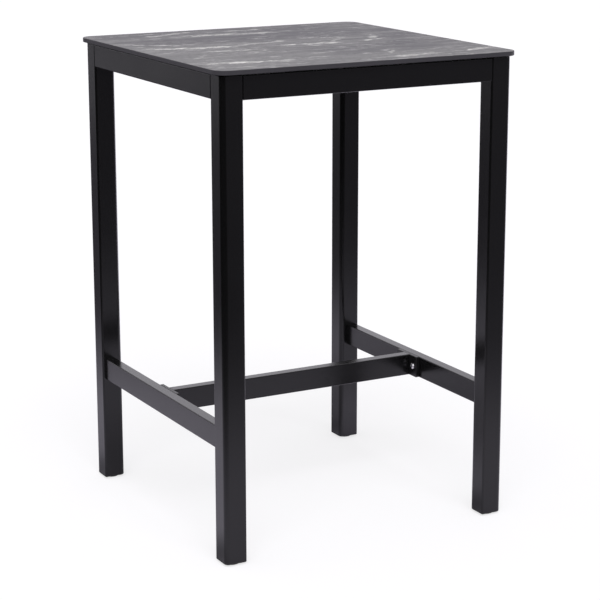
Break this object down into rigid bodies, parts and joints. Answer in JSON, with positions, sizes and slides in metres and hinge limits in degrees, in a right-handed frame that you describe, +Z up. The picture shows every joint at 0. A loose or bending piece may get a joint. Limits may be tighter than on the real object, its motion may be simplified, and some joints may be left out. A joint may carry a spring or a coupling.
{
  "type": "pub table",
  "caption": "Square bar-height table: thin streaked stone-look top on a black tube frame with square legs, flush aprons, low side rails, a bolted cross rail and levelling feet.",
  "frame": {"origin": "on the floor under the middle of the table top", "axes": "+Z up; X left to right along the front, where the cross rail also runs; Y front to back, along the two side rails"},
  "size_m": [0.72, 0.72, 1.05],
  "materials": {
    "top_laminate": "compact laminate, matt stone-look face with light veins, black core at the edge",
    "frame_coat": "aluminium extrusion, fine-textured black powder coat",
    "bracket_coat": "cast aluminium, black powder coat",
    "bright_steel": "stainless steel, polished",
    "zinc_bolt": "zinc-plated steel",
    "zinc_screw": "zinc-plated steel",
    "bar_steel": "zinc-plated steel bar",
    "plate_steel": "zinc-plated steel sheet, bent",
    "tab_aluminium": "mill-finish extruded angle",
    "insert_brass": "turned brass",
    "plug_plastic": "moulded black polyamide",
    "stem_steel": "zinc-plated threaded stem",
    "pad_plastic": "moulded black polyamide"
  },
  "bodies": {
    "table": {"apron_back": "frame_coat", "apron_front": "frame_coat", "apron_left": "frame_coat", "apron_right": "frame_coat", "bracket_bolts": "bright_steel", "corner_plate_back_left": "plate_steel", "corner_plate_back_right": "plate_steel", "corner_plate_front_left": "plate_steel", "corner_plate_front_right": "plate_steel", "corner_plate_screws": "zinc_screw", "cross_rail": "frame_coat", "cross_rail_bracket_left": "bracket_coat", "cross_rail_bracket_right": "bracket_coat", "fixing_tabs_back": "tab_aluminium", "fixing_tabs_front": "tab_aluminium", "fixing_tabs_left": "tab_aluminium", "fixing_tabs_right": "tab_aluminium", "foot_nuts": "zinc_bolt", "foot_plug_back_left": "plug_plastic", "foot_plug_back_right": "plug_plastic", "foot_plug_front_left": "plug_plastic", "foot_plug_front_right": "plug_plastic", "leg_back_left": "frame_coat", "leg_back_right": "frame_coat", "leg_bolt_washers": "zinc_bolt", "leg_bolts": "zinc_bolt", "leg_front_left": "frame_coat", "leg_front_right": "frame_coat", "leg_nut_bar_back_left": "bar_steel", "leg_nut_bar_back_right": "bar_steel", "leg_nut_bar_front_left": "bar_steel", "leg_nut_bar_front_right": "bar_steel", "rail_rivet_nuts": "zinc_bolt", "side_rail_left": "frame_coat", "side_rail_right": "frame_coat", "spigot_screws": "zinc_screw", "tab_screws": "zinc_screw", "table_top": "top_laminate", "top_inserts": "insert_brass", "top_screws": "zinc_screw", "top_washers": "zinc_bolt"},
    "pad_front_left": {"foot_pad_front_left": "pad_plastic"},
    "stem_front_left": {"foot_stem_front_left": "stem_steel"},
    "pad_front_right": {"foot_pad_front_right": "pad_plastic"},
    "stem_front_right": {"foot_stem_front_right": "stem_steel"},
    "pad_back_left": {"foot_pad_back_left": "pad_plastic"},
    "stem_back_left": {"foot_stem_back_left": "stem_steel"},
    "pad_back_right": {"foot_pad_back_right": "pad_plastic"},
    "stem_back_right": {"foot_stem_back_right": "stem_steel"}
  },
  "joints": [
    {"name": "foot_height_front_left", "type": "slide", "parent": "table", "child": "pad_front_left", "axis": [0, 0, 1], "range_m": [-0.01, 0]},
    {"name": "foot_turn_front_left", "type": "hinge", "parent": "pad_front_left", "child": "stem_front_left", "pos_m": [-0.323, -0.323, 0.002], "axis": [0, 0, 1], "range_deg": [-2880, 0]},
    {"name": "foot_height_front_right", "type": "slide", "parent": "table", "child": "pad_front_right", "axis": [0, 0, 1], "range_m": [-0.01, 0]},
    {"name": "foot_turn_front_right", "type": "hinge", "parent": "pad_front_right", "child": "stem_front_right", "pos_m": [0.323, -0.323, 0.002], "axis": [0, 0, 1], "range_deg": [-2880, 0]},
    {"name": "foot_height_back_left", "type": "slide", "parent": "table", "child": "pad_back_left", "axis": [0, 0, 1], "range_m": [-0.01, 0]},
    {"name": "foot_turn_back_left", "type": "hinge", "parent": "pad_back_left", "child": "stem_back_left", "pos_m": [-0.323, 0.323, 0.002], "axis": [0, 0, 1], "range_deg": [-2880, 0]},
    {"name": "foot_height_back_right", "type": "slide", "parent": "table", "child": "pad_back_right", "axis": [0, 0, 1], "range_m": [-0.01, 0]},
    {"name": "foot_turn_back_right", "type": "hinge", "parent": "pad_back_right", "child": "stem_back_right", "pos_m": [0.323, 0.323, 0.002], "axis": [0, 0, 1], "range_deg": [-2880, 0]}
  ],
  "couplings": [
    {"joint": "foot_turn_front_left", "follows": "foot_height_front_left", "rad_per_m": 5026.5},
    {"joint": "foot_turn_front_right", "follows": "foot_height_front_right", "rad_per_m": 5026.5},
    {"joint": "foot_turn_back_left", "follows": "foot_height_back_left", "rad_per_m": 5026.5},
    {"joint": "foot_turn_back_right", "follows": "foot_height_back_right", "rad_per_m": 5026.5}
  ]
}
